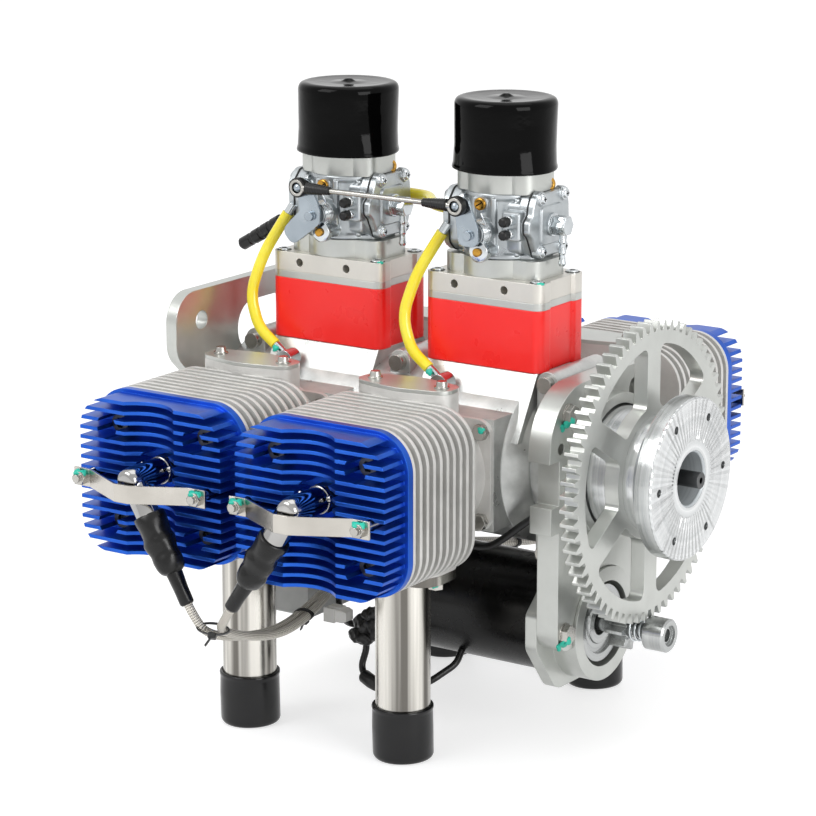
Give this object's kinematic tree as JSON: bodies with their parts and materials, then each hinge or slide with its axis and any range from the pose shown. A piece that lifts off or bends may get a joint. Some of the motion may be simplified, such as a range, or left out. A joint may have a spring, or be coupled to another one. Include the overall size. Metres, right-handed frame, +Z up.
{
  "type": "flat aircraft engine",
  "caption": "Air-cooled flat two-stroke aircraft engine with blue finned heads, twin carburettors on red intake blocks, ring gear starter and propeller flange.",
  "frame": {"origin": "centre of the propeller flange's front face", "axes": "+X forward along the crankshaft, out of the propeller flange; +Z up, carburettors on top; the near bank of cylinders points to -Y"},
  "size_m": [0.3442, 0.4352, 0.4005],
  "materials": {
    "cast_aluminium": "blasted casting",
    "barrel_aluminium": "blasted casting",
    "anodised_blue": "blue anodised",
    "machined_aluminium": "satin machined",
    "turned_aluminium": "turned",
    "champagne_aluminium": "pale anodised",
    "piston_aluminium": "turned",
    "zinc_casting": "die cast",
    "zinc_plate": "zinc plated",
    "fastener_steel": "plated",
    "forged_steel": "ground",
    "starter_steel": "turned",
    "stainless_tube": "brushed",
    "spring_steel": "satin",
    "plated_cap": "polished",
    "braid": "braided",
    "red_plastic": "semi-gloss",
    "black_vinyl": "glossy",
    "black_paint": "satin",
    "black_rubber": "matte",
    "black_plastic": "matte",
    "yellow_pvc": "glossy",
    "grey_module": "satin"
  },
  "bodies": {
    "engine": {"carb_body_front": "zinc_casting", "carb_body_rear": "zinc_casting", "carb_caps": "black_vinyl", "carb_flanges": "machined_aluminium", "carb_plates": "champagne_aluminium", "case_bolts": "fastener_steel", "crankcase_far": "cast_aluminium", "crankcase_near": "cast_aluminium", "cylinder_far_front": "barrel_aluminium", "cylinder_far_rear": "barrel_aluminium", "cylinder_near_front": "barrel_aluminium", "cylinder_near_rear": "barrel_aluminium", "cylinder_nuts": "fastener_steel", "exhaust_bolts": "fastener_steel", "exhaust_caps": "black_vinyl", "exhaust_stubs": "stainless_tube", "front_plate": "machined_aluminium", "front_plate_bolts": "fastener_steel", "head_bolts": "fastener_steel", "head_far_front": "anodised_blue", "head_far_rear": "anodised_blue", "head_near_front": "anodised_blue", "head_near_rear": "anodised_blue", "hose_fittings": "fastener_steel", "hoses": "yellow_pvc", "ignition_leads": "braid", "ignition_module": "grey_module", "inlet_flanges": "machined_aluminium", "inlet_plug": "black_rubber", "insulators": "machined_aluminium", "main_bearings": "forged_steel", "metering_covers": "zinc_casting", "plug_caps": "plated_cap", "plug_straps": "spring_steel", "port_cover_screws": "fastener_steel", "port_covers": "machined_aluminium", "pump_covers": "zinc_casting", "rear_mount_plate": "machined_aluminium", "rear_plate_bolts": "fastener_steel", "reed_blocks": "red_plastic", "spark_plugs": "fastener_steel", "starter_motor": "black_paint", "starter_nose": "machined_aluminium", "strap_studs_and_nuts": "fastener_steel", "wiring": "black_rubber", "wiring_connectors": "black_plastic"},
    "crank": {"crankshaft": "forged_steel", "prop_hub": "turned_aluminium", "ring_gear": "machined_aluminium", "gear_clamp_ring": "turned_aluminium"},
    "starter_spindle": {"starter_shaft": "starter_steel", "pinion_spring": "starter_steel"},
    "pinion": {"starter_pinion": "starter_steel"},
    "throttle_front": {"throttle_shaft_front": "zinc_plate"},
    "throttle_rear": {"throttle_shaft_rear": "zinc_plate"},
    "throttle_link": {"throttle_rod": "fastener_steel"},
    "piston_near_front": {"piston_near_front": "piston_aluminium"},
    "piston_near_rear": {"piston_near_rear": "piston_aluminium"},
    "piston_far_front": {"piston_far_front": "piston_aluminium"},
    "piston_far_rear": {"piston_far_rear": "piston_aluminium"}
  },
  "joints": [
    {"name": "crank_spin", "type": "hinge", "parent": "engine", "child": "crank", "pos_m": [0, 0, 0], "axis": [1, 0, 0], "continuous": true},
    {"name": "starter_spin", "type": "hinge", "parent": "engine", "child": "starter_spindle", "pos_m": [0, 0, -0.10138], "axis": [1, 0, 0], "continuous": true},
    {"name": "pinion_throw", "type": "slide", "parent": "starter_spindle", "child": "pinion", "axis": [1, 0, 0], "range_m": [0, 0.0115], "stiffness_N_per_m": 150, "springref_m": -0.004, "deforming": ["pinion_spring"]},
    {"name": "throttle_front_turn", "type": "hinge", "parent": "engine", "child": "throttle_front", "pos_m": [-0.1335, -0.04, 0.141], "axis": [0, 1, 0], "range_deg": [0, 75]},
    {"name": "throttle_rear_turn", "type": "hinge", "parent": "engine", "child": "throttle_rear", "pos_m": [-0.2505, -0.04, 0.141], "axis": [0, 1, 0], "range_deg": [0, 75]},
    {"name": "link_pivot", "type": "hinge", "parent": "throttle_front", "child": "throttle_link", "pos_m": [-0.1395, -0.046, 0.159], "axis": [0, 1, 0], "range_deg": [-75, 0]},
    {"name": "piston_near_front_stroke", "type": "slide", "parent": "engine", "child": "piston_near_front", "axis": [0, -1, 0], "range_m": [-0.04, 0]},
    {"name": "piston_near_rear_stroke", "type": "slide", "parent": "engine", "child": "piston_near_rear", "axis": [0, -1, 0], "range_m": [0, 0.04]},
    {"name": "piston_far_front_stroke", "type": "slide", "parent": "engine", "child": "piston_far_front", "axis": [0, 1, 0], "range_m": [-0.04, 0]},
    {"name": "piston_far_rear_stroke", "type": "slide", "parent": "engine", "child": "piston_far_rear", "axis": [0, 1, 0], "range_m": [0, 0.04]}
  ],
  "couplings": [
    {"joint": "throttle_rear_turn", "follows": "throttle_front_turn", "ratio": 1},
    {"joint": "link_pivot", "follows": "throttle_front_turn", "ratio": -1}
  ]
}
